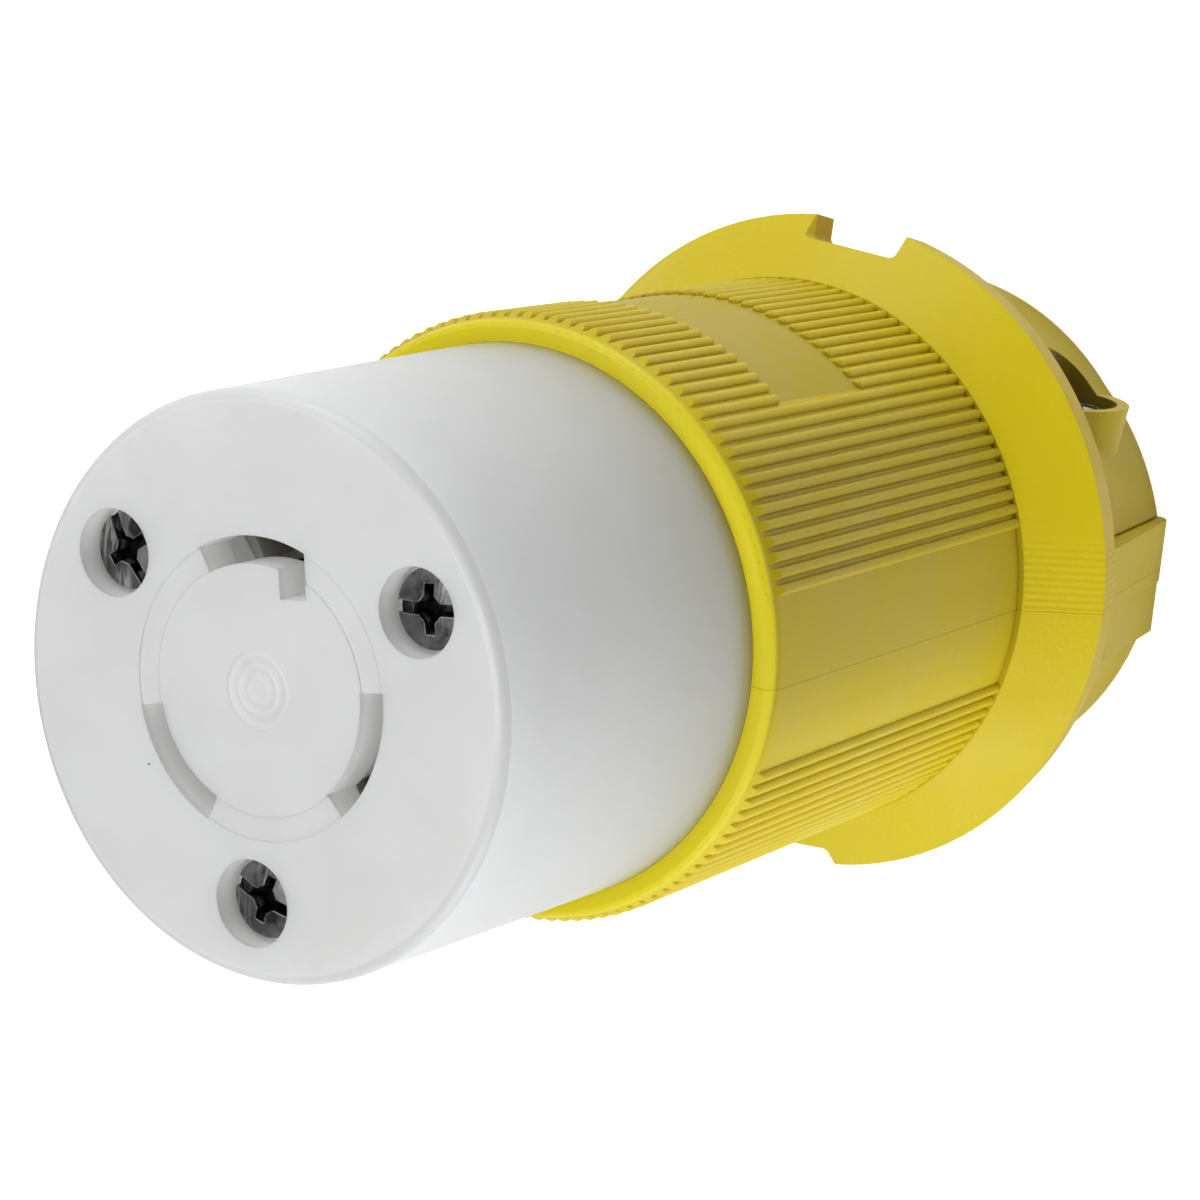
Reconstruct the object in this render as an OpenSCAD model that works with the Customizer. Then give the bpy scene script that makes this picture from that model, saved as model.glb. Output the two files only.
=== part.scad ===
// Locking cord connector with a ribbed back shell and a screwed cord clamp.
// Z runs from the cord end up to the outlet face, Y points at a flange notch. Millimetres.

/* [Overall] */
// Diameter of the white nose and its outlet face
face_d = 45.2; // [42:0.1:52]
// Length of the nose ahead of the shell's lip
nose_len = 33; // [28:0.5:40]
// Length of the ribbed grip, from the lip to the flange
grip_len = 40.4; // [36:0.2:50]
// Length of the flange's conical flare
flare_len = 5; // [4:0.2:8]
// Thickness of the flange's rim
rim_t = 3; // [2:0.1:4]
// Length of the cord clamp behind the flange
clamp_len = 17.6; // [16:0.2:21]

/* [Outlet face] */
// Thickness of the face that the slots go through
face_t = 7; // [6:0.5:9]
// Rounding of the nose's front edge
edge_r = 0.9; // [0.4:0.1:2.4]
// Wall of the nose's sleeve
nose_wall = 2.4; // [2:0.1:3]
// Middle radius of the blade slots
slot_r = 10.6; // [10:0.1:11.5]
// Width of the blade slots
slot_w = 2.1; // [1.8:0.1:2.6]
// First and last angle of the ground slot
slot_ground = [74, 125]; // [0:1:360]
// First and last angle of one line slot
slot_line_a = [-42, 12]; // [-90:1:360]
// First and last angle of the other line slot
slot_line_b = [199, 251]; // [0:1:360]
// Length of the ground slot's inward hook
hook_len = 3.3; // [2.5:0.1:5]
// Width of the hook
hook_w = 2.4; // [1.8:0.1:3]
// Lean of the hook away from the radius
hook_lean = 26; // [0:1:45]
// Thickness of the face over the locking pockets behind the slots
lock_lip = 3.5; // [3:0.1:5]
// Depth of the shallow ring that joins the slots
ring_depth = 0.1; // [0.05:0.05:0.6]
// Radius of the outer raised ring at the centre
target_r = 2.7; // [2:0.05:4]
// Radius of the raised rings' rounded section
bead_r = 0.42; // [0.3:0.01:0.45]
// Height of the raised rings above the face
bead_h = 0.13; // [0.08:0.01:0.2]

/* [Contacts] */
// Depth of the insulating contact carrier
carrier_len = 17; // [14:0.5:22]
// Thickness of the retainer behind the carrier
retainer_t = 4; // [3:0.5:6]
// Thickness of each brass leaf
leaf_t = 0.7; // [0.5:0.1:1]
// Angle that an inserted blade turns to lock
lock_turn = 15; // [10:1:20]
// Width of a terminal pad
pad_w = 8.4; // [7.6:0.2:10]
// Thickness of a terminal pad
pad_t = 3.5; // [3:0.1:5]
// Thickness of a wire clamp plate
plate_t = 1.6; // [1.2:0.1:2.4]
// Radius of the wire grooves between pad and plate
wire_r = 0.9; // [0.6:0.1:1.1]

/* [Screws] */
// Radius of every screw's shank
screw_r = 1.75; // [1.5:0.05:2]
// Radius of a pan head
head_r = 3.1; // [2.8:0.05:3.4]
// Height of a pan head
head_h = 2.3; // [2:0.1:2.8]
// Depth of the face screws' seats
seat_depth = 2.75; // [2.5:0.05:3]
// Turn of each face screw's recess
recess_turns = [8, 128, 167]; // [0:1:180]
// Turn of the face screws' circle against the notches
screw_turn = 3.5; // [-8:0.5:8]
// Outer radius of a threaded insert
insert_r = 2.5; // [2.3:0.05:2.6]
// Length of a threaded insert
insert_len = 8; // [6:0.5:10]

/* [Back shell] */
// Wall of the shell's lip around the nose
lip_wall = 1.8; // [1.6:0.1:2.2]
// Depth of the socket that holds the nose
socket_depth = 12; // [8:0.5:14]
// Inward draft of the grip towards the flange
grip_draft = 1; // [0.2:0.05:1.2]
// Wall of the grip behind the socket
shell_wall = 2.75; // [2.4:0.05:3.4]
// Radius of each rounded rib
rib_r = 0.46; // [0.3:0.02:0.55]
// Angle between neighbouring ribs
rib_pitch = 3; // [3:0.5:6]
// Half angle of each ribbed band
rib_span = 72; // [45:1:78]
// Length of the lip's straight front end
lip_len = 1.6; // [1:0.1:3]
// Half angle of the bare pad on the upper band
bare_half = 37.5; // [20:0.5:45]
// Distance of the bare pad behind the lip
bare_from = 12.7; // [8:0.1:16]
// Length of the bare pad
bare_len = 12.6; // [8:0.1:16]
// Flange diameter
flange_d = 58.2; // [57:0.1:66]
// Inward draft of the flange's rim towards the clamp
rim_draft = 0.7; // [0.2:0.1:1]
// Width of the two flange notches
notch_w = 9.2; // [6:0.1:12]
// Depth of the two flange notches
notch_depth = 2.1; // [1.5:0.1:2.4]
// Inner corner rounding of the notches
notch_fillet = 0.5; // [0.3:0.1:1.5]
// Turn of the notches off the Y axis
notch_turn = 2.5; // [0:0.5:5]
// Slope of the notches' floors
notch_tilt = 13; // [5:1:15]
// Wall between the wiring space and the clamp
floor_t = 3.6; // [3:0.1:5]

/* [Cord clamp] */
// Radius of the clamp's fixed half at the flange
clamp_r_front = 25.8; // [25:0.1:26.4]
// Radius of the clamp's fixed half at its end
clamp_r_rear = 23.8; // [23:0.1:24]
// Step of the jaw below the fixed half
jaw_inset = 1.4; // [1:0.1:1.8]
// Height of the split above the axis
split_y = 4.4; // [3:0.1:5]
// Radius of the cord passage
cord_r = 8; // [6:0.1:9]
// Depth of the grip grooves in the cord passage
groove_depth = 0.7; // [0.3:0.1:1]
// Height of the flat side blocks
block_h = 10.3; // [8:0.1:12]
// Half width across the side blocks at the clamp's end
block_x = 24.1; // [23.8:0.1:24.5]
// Half width across the side blocks at the flange
block_x_front = 27.2; // [26.6:0.1:27.4]
// Step at the blocks' parting line
block_step = 0.15; // [0.05:0.05:0.3]
// Radius of the jaw's rounded flanks at its end
flank_r = 22.9; // [22.6:0.1:23.2]
// Sideways shift of the flanks' centres
flank_x = 1.3; // [1:0.1:1.6]
// Drop of the flanks' centres below the axis
flank_drop = 2; // [1.5:0.1:3]
// Gap between the flanks and the side blocks
flank_gap = 0.2; // [0.1:0.05:0.6]
// Distance of the clamp screws from the axis
clamp_screw_x = 17.2; // [16.4:0.1:17.6]
// Height of the clamp screws' seats
clamp_seat_y = 12.2; // [10:0.1:12.6]
// Radius of the screw pockets
pocket_r = 3.65; // [3.5:0.05:3.8]
// Height of the screw pockets' outer rims
pocket_rim_y = 14.8; // [13.5:0.1:16]
// Wall of the pockets' outer rims
pocket_wall = 1.15; // [0.8:0.05:1.5]
// Side of the square nuts
nut_side = 6.2; // [5.6:0.1:6.6]
// Thickness of the square nuts
nut_t = 2.6; // [2:0.1:3]

/* [Fits] */
// Clearance between nose, carrier and shell
fit_gap = 0.2; // [0.1:0.05:0.3]
// Clearance round a screw's shank
shank_gap = 0.25; // [0.15:0.05:0.35]
// Clearance round a screw's head
head_gap = 0.3; // [0.15:0.05:0.35]
// Clearance in a screw's thread
thread_gap = 0.03; // [0.02:0.01:0.05]

/* [Hidden] */
$fn = 96;
eps = 0.01;
flange_z = clamp_len + rim_t;
root_z = flange_z + flare_len;
lip_z = root_z + grip_len;
face_z = lip_z + nose_len;
disc_z = face_z - face_t;
retainer_z = disc_z - carrier_len;
terminal_z = retainer_z - retainer_t;
plate_z = terminal_z - pad_t;
head_z = plate_z - plate_t;
shoulder_z = lip_z - socket_depth;
floor_z = clamp_len + floor_t;

nose_r = face_d / 2;
nose_in_r = nose_r - nose_wall;
core_r = nose_in_r - fit_gap;
post_r = insert_r + 1;
screw_circle_r = core_r - post_r;
screw_angles = [30 + screw_turn, 150 + screw_turn, 270 + screw_turn];
shank_hole_r = screw_r + shank_gap;
head_hole_r = head_r + head_gap;

socket_r = nose_r + fit_gap / 2;
rib_step = rib_r + 0.06;
grip_r = socket_r + lip_wall;
root_r = grip_r - grip_draft;
chamber_r = root_r - shell_wall;
rib_tilt = atan(grip_draft / (grip_len - lip_len));
flange_r = flange_d / 2;

slot_in_r = slot_r - slot_w / 2;
slot_out_r = slot_r + slot_w / 2;
leaf_in_r = slot_in_r - leaf_t;
leaf_out_r = slot_out_r + leaf_t;
pad_reach = 4.1;
terminal_screw_r = slot_r + 0.2;

jaw_len = clamp_len - 0.3;
clamp_taper = (clamp_r_front - clamp_r_rear) / clamp_len;
block_taper = (block_x_front - block_x) / clamp_len;
clamp_mid_z = clamp_len / 2 - 1.2;
nut_top_y = split_y - 5.5;

// A ring sector between two angles, radii and heights
module arc_bar(angles, r0, r1, z0, z1)
  rotate([0, 0, angles[0]])
    rotate_extrude(angle = angles[1] - angles[0])
      translate([r0, z0]) square([r1 - r0, z1 - z0]);

// Children copied to each of the long screws' places
module at_screws()
  for (a = screw_angles)
    rotate([0, 0, a]) translate([screw_circle_r, 0, 0]) children();

// The middle angle of a slot
function mid(slot) = (slot[0] + slot[1]) / 2;

// Pan-head screw with its seat at the origin, head up, cross and slot recess
module pan_screw(len, turn) {
  crown = head_h * 0.25;
  dome_r = (head_r * head_r + crown * crown) / (2 * crown);
  translate([0, 0, -len]) cylinder(h = len + eps, r = screw_r);
  difference() {
    intersection() {
      cylinder(h = head_h, r = head_r);
      translate([0, 0, head_h - dome_r]) sphere(r = dome_r);
    }
    rotate([0, 0, turn]) {
      translate([-head_r - 0.5, -0.45, head_h - 1]) cube([2 * head_r + 1, 0.9, 1.1]);
      for (a = [0, 90])
        rotate([0, 0, a])
          translate([-2.1, -0.7, head_h - 1.7]) cube([4.2, 1.4, 1.8]);
    }
  }
}

// Blade slots of the face, the ground slot with its inward hook
module blade_slots() {
  for (s = [slot_ground, slot_line_a, slot_line_b])
    arc_bar(s, slot_in_r, slot_out_r, disc_z - 1, face_z + 1);
  rotate([0, 0, slot_ground[0]])
    translate([slot_out_r - 0.25, 0, disc_z - 1])
      rotate([0, 0, hook_lean])
        translate([-hook_len, 0, 0]) cube([hook_len, hook_w, face_t + 2]);
}

// Pockets behind the face that let the blades turn and lock
module lock_pockets()
  for (s = [slot_ground, slot_line_a, slot_line_b])
    arc_bar([s[0] - lock_turn - 1.5, s[1] + 6], leaf_in_r - fit_gap, leaf_out_r + fit_gap,
      disc_z - 1, face_z - lock_lip);

module outlet_face() color("white") {
  difference() {
    rotate_extrude() {
      difference() {
        union() {
          polygon([
            [0, shoulder_z + fit_gap],
            [nose_r, shoulder_z + fit_gap],
            [nose_r, face_z - edge_r],
            [nose_r - edge_r, face_z],
            [0, face_z]
          ]);
          translate([nose_r - edge_r, face_z - edge_r]) circle(r = edge_r);
        }
        translate([0, shoulder_z - 1]) square([nose_in_r, disc_z - shoulder_z + 1]);
      }
    }
    blade_slots();
    lock_pockets();
    arc_bar([0, 360], slot_in_r + 0.12, slot_out_r - 0.12, face_z - ring_depth, face_z + 1);
    at_screws() {
      translate([0, 0, disc_z - 1]) cylinder(h = face_t + 2, r = shank_hole_r);
      translate([0, 0, face_z - seat_depth]) cylinder(h = seat_depth + 1, r = head_hole_r);
    }
  }
  for (i = [1 : 3])
    rotate_extrude() translate([i * target_r / 3, face_z + bead_h - bead_r]) circle(r = bead_r, $fn = 24);
}

// The space that a contact takes in the carrier, with its clearance
module contact_cavity(slot)
  arc_bar([slot[0] - lock_turn - 1.5, slot[1] + 1.5], leaf_in_r - fit_gap, leaf_out_r + fit_gap,
    retainer_z - 1, disc_z + 1);

module contact_carrier() color("ivory")
  difference() {
    translate([0, 0, retainer_z]) cylinder(h = carrier_len, r = core_r);
    for (s = [slot_ground, slot_line_a, slot_line_b]) contact_cavity(s);
    at_screws() translate([0, 0, retainer_z - 1]) cylinder(h = carrier_len + 2, r = shank_hole_r);
  }

module contact_retainer() color("dimgray")
  difference() {
    translate([0, 0, terminal_z]) cylinder(h = retainer_t, r = core_r);
    for (s = [slot_ground, slot_line_a, slot_line_b])
      rotate([0, 0, mid(s)])
        translate([slot_r - 1.4 - fit_gap, -pad_w / 4 - fit_gap, terminal_z - 1])
          cube([2.8 + 2 * fit_gap, pad_w / 2 + 2 * fit_gap, retainer_t + 2]);
    at_screws() translate([0, 0, terminal_z - 1]) cylinder(h = retainer_t + 2, r = shank_hole_r);
  }

// Two wire grooves beside a terminal screw, on the face between pad and plate
module wire_grooves()
  for (y = [-1, 1])
    translate([terminal_screw_r - 6, y * (screw_r + shank_gap + wire_r - 0.2), plate_z])
      rotate([0, 90, 0]) cylinder(h = 12, r = wire_r);

// Curved two-leaf contact with a stem and a terminal pad
module contact(slot)
  difference() {
    union() {
      arc_bar([slot[0] - lock_turn, slot[1]], leaf_in_r, slot_in_r, retainer_z, disc_z - 1);
      arc_bar([slot[0] - lock_turn, slot[1]], slot_out_r, leaf_out_r, retainer_z, disc_z - 1);
      arc_bar([slot[0] - lock_turn, slot[1]], leaf_in_r, leaf_out_r, retainer_z, retainer_z + leaf_t);
      rotate([0, 0, mid(slot)]) {
        translate([slot_r - 1.4, -pad_w / 4, terminal_z - eps])
          cube([2.8, pad_w / 2, retainer_t + leaf_t]);
        translate([slot_r - pad_reach, -pad_w / 2, plate_z]) cube([2 * pad_reach, pad_w, pad_t]);
      }
    }
    rotate([0, 0, mid(slot)]) {
      wire_grooves();
      translate([terminal_screw_r, 0, plate_z - 1]) cylinder(h = pad_t, r = screw_r + thread_gap);
    }
  }

module contact_line_a() color("goldenrod") contact(slot_line_a);

module contact_line_b() color("goldenrod") contact(slot_line_b);

module contact_ground() color("goldenrod") contact(slot_ground);

// Plate that holds the wires down on a terminal pad
module clamp_plate(slot)
  rotate([0, 0, mid(slot)])
    difference() {
      translate([slot_r - pad_reach + 0.3, -pad_w / 2 + 0.3, head_z])
        cube([2 * pad_reach - 0.6, pad_w - 0.6, plate_t]);
      wire_grooves();
      translate([terminal_screw_r, 0, head_z - 1]) cylinder(h = plate_t + 2, r = shank_hole_r);
    }

module clamp_plate_line_a() color("silver") clamp_plate(slot_line_a);

module clamp_plate_line_b() color("silver") clamp_plate(slot_line_b);

module clamp_plate_ground() color("silver") clamp_plate(slot_ground);

// Terminal screw, driven from the cord side
module terminal_screw(slot)
  rotate([0, 0, mid(slot)])
    translate([terminal_screw_r, 0, head_z])
      rotate([180, 0, 0]) pan_screw(plate_t + pad_t - 1.3, 20);

module terminal_screw_line_a() color("silver") terminal_screw(slot_line_a);

module terminal_screw_line_b() color("silver") terminal_screw(slot_line_b);

module terminal_screw_ground() color("green") terminal_screw(slot_ground);

// Long screw from the face through the stack into a post
module assembly_screw(i)
  rotate([0, 0, screw_angles[i]])
    translate([screw_circle_r, 0, face_z - seat_depth])
      rotate([0, 0, -screw_angles[i]])
        pan_screw(face_z - seat_depth - terminal_z + insert_len + 2, recess_turns[i]);

module assembly_screw_1() color("gray") assembly_screw(0);

module assembly_screw_2() color("gray") assembly_screw(1);

module assembly_screw_3() color("gray") assembly_screw(2);

// Threaded insert in the top of a post
module thread_insert(i)
  rotate([0, 0, screw_angles[i]])
    translate([screw_circle_r, 0, terminal_z - insert_len])
      difference() {
        cylinder(h = insert_len, r = insert_r);
        translate([0, 0, -1]) cylinder(h = insert_len + 2, r = screw_r + thread_gap);
      }

module thread_insert_1() color("goldenrod") thread_insert(0);

module thread_insert_2() color("goldenrod") thread_insert(1);

module thread_insert_3() color("goldenrod") thread_insert(2);

// One rounded rib on the drafted grip, between two heights
module rib(angle, z0, z1)
  rotate([0, 0, angle])
    translate([root_r, 0, root_z])
      rotate([0, rib_tilt, 0])
        translate([0, 0, z0 - root_z])
          rotate_extrude($fn = 24)
            polygon([[0, 0], [rib_r, 0], [rib_r, z1 - z0 - 0.3], [rib_r - 0.22, z1 - z0], [0, z1 - z0]]);

// Ribs of both bands, with the bare pad left out of the upper one
module grip_ribs() {
  top = lip_z - 0.15;
  bare_top = lip_z - bare_from;
  for (a = [-rib_span : rib_pitch : rib_span]) {
    rib(270 + a, root_z - 0.6, top);
    if (abs(a) > bare_half)
      rib(90 + a, root_z - 0.6, top);
    else {
      rib(90 + a, root_z - 0.6, bare_top - bare_len);
      rib(90 + a, bare_top, top);
    }
  }
}

// Outline of the shell's rounded lip, drafted grip, flare and rim
module shell_profile() {
  lip_round = lip_wall * 0.35;
  translate([grip_r - lip_round, lip_z - lip_round]) circle(r = lip_round);
  polygon([
    [0, clamp_len],
    [flange_r - rim_draft, clamp_len],
    [flange_r, flange_z],
    [root_r + rib_step, root_z],
    [root_r, root_z],
    [grip_r, lip_z - lip_len],
    [grip_r, lip_z - lip_round],
    [grip_r - lip_round, lip_z],
    [0, lip_z]
  ]);
}

// Tapered body of the clamp about the axis, for a given end radius and length
module clamp_cone(r, len)
  rotate_extrude()
    polygon([[0, 0], [r - 0.7, 0], [r, 0.7], [r + clamp_taper * len, len], [0, len]]);

// Cord passage with its grip grooves
module cord_passage() {
  translate([0, 0, -1]) cylinder(h = clamp_len + 2, r = cord_r);
  for (i = [1 : 4])
    translate([0, 0, i * clamp_len / 5 - 0.8]) cylinder(h = 1.6, r = cord_r + groove_depth);
}

// Children copied to both clamp screws, with Z along the screw
module at_clamp_screws()
  for (side = [-1, 1])
    translate([side * clamp_screw_x, 0, clamp_mid_z]) rotate([-90, 0, 0]) children();

// Side piece with a flat, tapered outer face, from a height downwards
module side_piece(x, y, height, len)
  translate([0, y, 0])
    rotate([90, 0, 0])
      linear_extrude(height = height)
        polygon([[cord_r, 0], [x - 0.5, 0], [x, 0.5], [x + block_taper * len, len], [cord_r, len]]);

// Fixed lower half of the clamp with its side blocks
module clamp_base()
  difference() {
    union() {
      clamp_cone(clamp_r_rear, clamp_len + eps);
      for (side = [0, 1])
        mirror([side, 0, 0]) {
          side_piece(block_x, split_y, block_h * 0.55, clamp_len + eps);
          side_piece(block_x - block_step, split_y, block_h, clamp_len + eps);
        }
    }
    translate([-flange_r, split_y, -1]) cube([2 * flange_r, flange_r, clamp_len + 1]);
    at_clamp_screws() {
      translate([0, 0, nut_top_y - nut_t - 2.5])
        cylinder(h = split_y - nut_top_y + nut_t + 3.5, r = shank_hole_r);
      translate([-nut_side / 2 - fit_gap, -nut_side / 2 - fit_gap, nut_top_y - nut_t - fit_gap])
        cube([nut_side + 2 * fit_gap, nut_side + 2 * fit_gap + clamp_len, nut_t + fit_gap]);
    }
  }

// Notch cutter with rounded inner corners and a floor that falls towards the clamp
module notch()
  rotate([0, 0, -notch_turn])
    translate([0, flange_r - notch_depth, flange_z + notch_depth])
      rotate([-notch_tilt, 0, 0])
        translate([0, 0, -8])
          linear_extrude(height = 12) {
            translate([-notch_w / 2, notch_fillet]) square([notch_w, flange_r]);
            translate([-notch_w / 2 + notch_fillet, 0]) square([notch_w - 2 * notch_fillet, flange_r]);
            for (x = [-1, 1])
              translate([x * (notch_w / 2 - notch_fillet), notch_fillet]) circle(r = notch_fillet);
          }

module back_shell() color("gold")
  difference() {
    union() {
      difference() {
        union() {
          rotate_extrude() shell_profile();
          grip_ribs();
        }
        translate([0, 0, floor_z]) cylinder(h = lip_z, r = chamber_r);
        translate([0, 0, shoulder_z]) cylinder(h = lip_z, r = socket_r);
        for (side = [0, 1]) mirror([0, side, 0]) notch();
      }
      clamp_base();
      at_screws() {
        translate([0, 0, floor_z - eps]) cylinder(h = terminal_z - floor_z + eps, r = post_r);
        translate([0, -1.5, floor_z - eps])
          cube([chamber_r - screw_circle_r + 1, 3, shoulder_z - floor_z - fit_gap]);
      }
    }
    cord_passage();
    translate([0, 0, clamp_len - 1]) cylinder(h = floor_t + 2, r = cord_r + groove_depth);
    at_screws() {
      translate([0, 0, terminal_z - insert_len]) cylinder(h = insert_len + 1, r = insert_r);
      translate([0, 0, terminal_z - insert_len - 4]) cylinder(h = 5, r = shank_hole_r);
    }
  }

// Rounded flanks that widen the jaw to the side blocks, clear of them by a gap
module jaw_flanks()
  for (side = [0, 1])
    mirror([side, 0, 0])
      difference() {
        translate([flank_x, -flank_drop, 0]) clamp_cone(flank_r, jaw_len);
        translate([-flange_r, split_y + flank_gap - 2 * flange_r, -1])
          cube([2 * flange_r, 2 * flange_r, clamp_len + 2]);
        translate([cord_r + 4 - 2 * flange_r, -flange_r, -1])
          cube([2 * flange_r, 2 * flange_r, clamp_len + 2]);
      }

module clamp_jaw() color("gold")
  difference() {
    union() {
      clamp_cone(clamp_r_rear - jaw_inset, jaw_len);
      jaw_flanks();
      at_clamp_screws()
        cylinder(h = pocket_rim_y, r1 = pocket_r - 0.9, r2 = pocket_r + pocket_wall);
    }
    translate([-flange_r, split_y - 2 * flange_r, -1]) cube([2 * flange_r, 2 * flange_r, clamp_len + 2]);
    cord_passage();
    at_clamp_screws() {
      cylinder(h = flange_r, r = shank_hole_r);
      translate([0, 0, clamp_seat_y]) cylinder(h = flange_r, r = pocket_r);
    }
  }

// Clamp screw through the jaw into its nut
module clamp_screw(side)
  translate([side * clamp_screw_x, clamp_seat_y, clamp_mid_z])
    rotate([-90, 0, 0]) pan_screw(clamp_seat_y - nut_top_y + nut_t + 1, 45 - 15 * side);

module clamp_screw_right() color("gray") clamp_screw(1);

module clamp_screw_left() color("gray") clamp_screw(-1);

// Square nut held in a slot of the clamp's fixed half
module clamp_nut(side)
  translate([side * clamp_screw_x, nut_top_y, clamp_mid_z])
    rotate([90, 0, 0])
      difference() {
        translate([-nut_side / 2, -nut_side / 2, 0]) cube([nut_side, nut_side, nut_t]);
        translate([0, 0, -1]) cylinder(h = nut_t + 2, r = screw_r + thread_gap);
      }

module clamp_nut_right() color("silver") clamp_nut(1);

module clamp_nut_left() color("silver") clamp_nut(-1);

outlet_face();
contact_carrier();
contact_retainer();
contact_line_a();
contact_line_b();
contact_ground();
clamp_plate_line_a();
clamp_plate_line_b();
clamp_plate_ground();
terminal_screw_line_a();
terminal_screw_line_b();
terminal_screw_ground();
assembly_screw_1();
assembly_screw_2();
assembly_screw_3();
thread_insert_1();
thread_insert_2();
thread_insert_3();
back_shell();
clamp_jaw();
clamp_screw_right();
clamp_screw_left();
clamp_nut_right();
clamp_nut_left();
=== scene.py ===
"""Studio scene of a locking cord connector that stands on its cord end.

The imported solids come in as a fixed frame. This script gives each of them its finish, adds the
moulded details that are too fine for the solids, and sets the floor, the lights and the camera.
"""

import logging
import math
from collections import defaultdict
from dataclasses import dataclass
from enum import Enum

import bmesh
import bpy
from mathutils import Matrix, Vector
from mathutils.kdtree import KDTree


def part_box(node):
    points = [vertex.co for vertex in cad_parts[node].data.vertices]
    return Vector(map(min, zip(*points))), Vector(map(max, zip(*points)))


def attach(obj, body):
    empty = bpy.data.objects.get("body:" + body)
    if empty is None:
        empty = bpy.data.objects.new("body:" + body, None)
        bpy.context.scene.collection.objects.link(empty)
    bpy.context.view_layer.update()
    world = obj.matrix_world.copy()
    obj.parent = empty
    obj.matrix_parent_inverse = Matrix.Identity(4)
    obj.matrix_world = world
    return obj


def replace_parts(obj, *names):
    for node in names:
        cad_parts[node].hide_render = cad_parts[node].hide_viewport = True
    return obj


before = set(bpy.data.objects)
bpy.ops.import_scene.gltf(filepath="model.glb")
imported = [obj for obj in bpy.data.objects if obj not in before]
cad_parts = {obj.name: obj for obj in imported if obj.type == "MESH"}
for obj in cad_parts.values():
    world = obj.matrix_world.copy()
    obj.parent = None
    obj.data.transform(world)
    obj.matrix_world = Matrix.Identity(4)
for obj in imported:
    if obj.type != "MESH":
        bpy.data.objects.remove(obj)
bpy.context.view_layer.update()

LOG = logging.getLogger("connector")
Socket = bpy.types.NodeSocket
Span = tuple[float, float]
Triple = tuple[float, float, float]
Rgb = Triple

MM = 0.001
MERGE = 0.001 * MM
EDGE_SAMPLES = 2
HOLLOW_SAMPLES = 3
UP: Triple = (0.0, 0.0, 1.0)
IN_PLAN: Triple = (1.0, 1.0, 0.0)
BLACK: Rgb = (0.0, 0.0, 0.0)
WHITE: Rgb = (1.0, 1.0, 1.0)


class Slot(Enum):
    """Names of two of the record's material slots, which the new pieces' finishes also bear."""

    YELLOW = "yellow_nylon"
    DARK = "dark_steel"


# Node trees and shared effects


class Graph:
    """A node tree with short ways to add and join nodes."""

    def __init__(self, tree: bpy.types.NodeTree) -> None:
        """Keep the tree that the nodes go into."""
        self.tree = tree

    def add(self, kind: str, inputs: dict | None = None, **options: object) -> bpy.types.Node:
        """Add a node and fill its inputs.

        Args:
            kind: Blender's name of the node type.
            inputs: Values, or sockets of other nodes, by the name or number of the input.
            options: Properties of the node itself.

        Returns:
            The new node.
        """
        node = self.tree.nodes.new(kind)
        for name, value in options.items():
            setattr(node, name, value)
        for key, value in (inputs or {}).items():
            if isinstance(value, Socket):
                self.tree.links.new(value, node.inputs[key])
            else:
                node.inputs[key].default_value = value
        return node

    def math(self, operation: str, first: Socket | float, second: Socket | float = 0.0) -> Socket:
        """Join two numbers by a Math node and return the result's socket."""
        return self.add("ShaderNodeMath", {0: first, 1: second}, operation=operation).outputs[0]

    def spread(self, value: Socket, low: float, high: float, to_low: float, to_high: float) -> Socket:
        """Map a number from one range to another with soft ends.

        Args:
            value: The number to map.
            low: Value that gives to_low.
            high: Value that gives to_high.
            to_low: Result at the low end.
            to_high: Result at the high end.

        Returns:
            The mapped number.
        """
        inputs = {"Value": value, 1: low, 2: high, 3: to_low, 4: to_high}
        return self.add("ShaderNodeMapRange", inputs, interpolation_type="SMOOTHSTEP").outputs[0]

    def tint(self, mask: Socket, under: Socket | Rgb, over: Socket | Rgb) -> Socket:
        """Lay one colour over another by a mask.

        Args:
            mask: Share of the upper colour.
            under: Colour where the mask is 0.
            over: Colour where the mask is 1.

        Returns:
            The mixed colour.
        """
        colours = [c if isinstance(c, Socket) else (*c, 1.0) for c in (under, over)]
        node = self.add("ShaderNodeMix", {0: mask, 6: colours[0], 7: colours[1]}, data_type="RGBA")
        return node.outputs[2]

    def place(self) -> Socket:
        """Return the Object coordinates of the surface."""
        return self.add("ShaderNodeTexCoord").outputs["Object"]

    def parts(self, vector: Socket) -> tuple[Socket, Socket, Socket]:
        """Split a vector into its three numbers."""
        x, y, z = self.add("ShaderNodeSeparateXYZ", {0: vector}).outputs
        return x, y, z

    def radius(self, vector: Socket) -> Socket:
        """Return a place's distance from the connector's axis."""
        flat = self.add("ShaderNodeVectorMath", {0: vector, 1: IN_PLAN}, operation="MULTIPLY").outputs[0]
        return self.add("ShaderNodeVectorMath", {0: flat}, operation="LENGTH").outputs["Value"]

    def band(self, value: Socket, low: float, high: float, soft: float) -> Socket:
        """Return a mask that is 1 between two values and fades over a short way outside them.

        Args:
            value: The number to test.
            low: Lower end of the band.
            high: Upper end of the band.
            soft: Length of each fade.

        Returns:
            The mask.
        """
        over = self.spread(value, low - soft, low, 0.0, 1.0)
        under = self.spread(value, high, high + soft, 1.0, 0.0)
        return self.overlap(over, under)

    def overlap(self, first: Socket, *others: Socket) -> Socket:
        """Return a mask that is full only where all the given masks are.

        Args:
            first: The first mask.
            others: Masks that it is multiplied by, one after the other.

        Returns:
            The product of the masks.
        """
        for other in others:
            first = self.math("MULTIPLY", first, other)
        return first


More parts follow.
